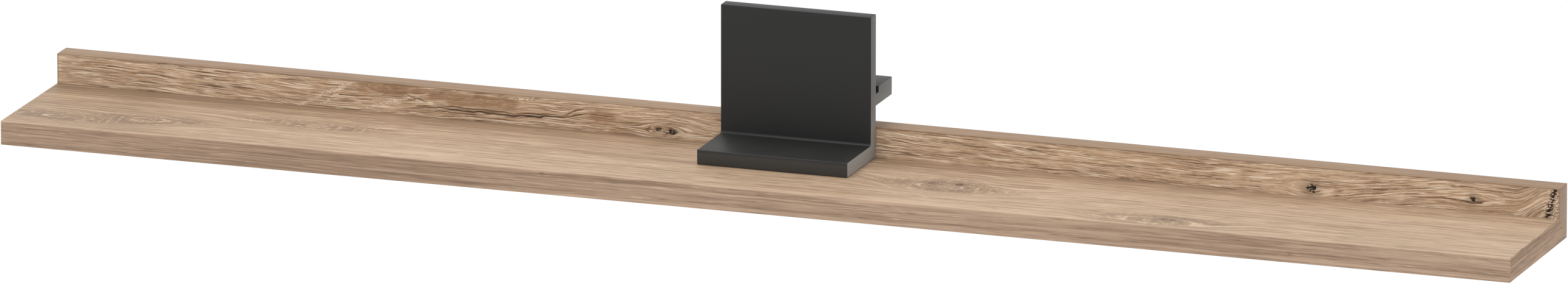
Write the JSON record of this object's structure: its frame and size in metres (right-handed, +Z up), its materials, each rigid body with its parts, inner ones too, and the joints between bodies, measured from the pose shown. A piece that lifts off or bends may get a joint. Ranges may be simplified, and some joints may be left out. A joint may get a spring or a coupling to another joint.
{
  "type": "wall shelf with slotted holder",
  "caption": "Long L-section wooden wall shelf on a concealed split-bevel wall cleat, with a black L-shaped holder that slides along the board and reaches back over the rail on slotted arms.",
  "frame": {"origin": "centre of the wall cleat's rear face, on the wall plane", "axes": "+X along the shelf's length, +Y towards the wall, +Z up"},
  "size_m": [1.8, 0.236, 0.195],
  "materials": {
    "oak_board": "matt rustic oak decor, fine straight grain",
    "oak_edge": "matt oak decor edge band",
    "oak_smooth": "matt smooth oak decor edge band",
    "oak_rustic": "deeply brushed split-oak relief",
    "plywood": "raw birch plywood",
    "beech": "raw beech dowel",
    "steel": "zinc-plated",
    "black_lacquer": "satin black lacquer on fibreboard",
    "felt": "pressed grey felt"
  },
  "bodies": {
    "wall_side": {"wall_cleat": "plywood"},
    "shelf": {"board_core": "oak_board", "board_front_band": "oak_edge", "board_end_band_left": "oak_edge", "board_end_band_right": "oak_edge", "rail_core": "oak_board", "rail_facing": "oak_rustic", "rail_top_band": "oak_smooth", "rail_end_band_left": "oak_smooth", "rail_end_band_right": "oak_smooth", "mitre_dowels": "beech", "shelf_cleat": "plywood", "cleat_screws": "steel"},
    "holder": {"holder_plate": "black_lacquer", "holder_lip": "black_lacquer", "holder_arm_left": "black_lacquer", "holder_arm_right": "black_lacquer", "lip_dowels": "beech", "arm_dowels": "beech", "lip_felt_pads": "felt", "arm_felt_left": "felt", "arm_felt_right": "felt"}
  },
  "joints": [
    {"name": "shelf_lift", "type": "slide", "parent": "wall_side", "child": "shelf", "axis": [0, 0, 1], "range_m": [0, 0.025]},
    {"name": "holder_slide", "type": "slide", "parent": "shelf", "child": "holder", "axis": [1, 0, 0], "range_m": [-0.81, 0.81]}
  ]
}
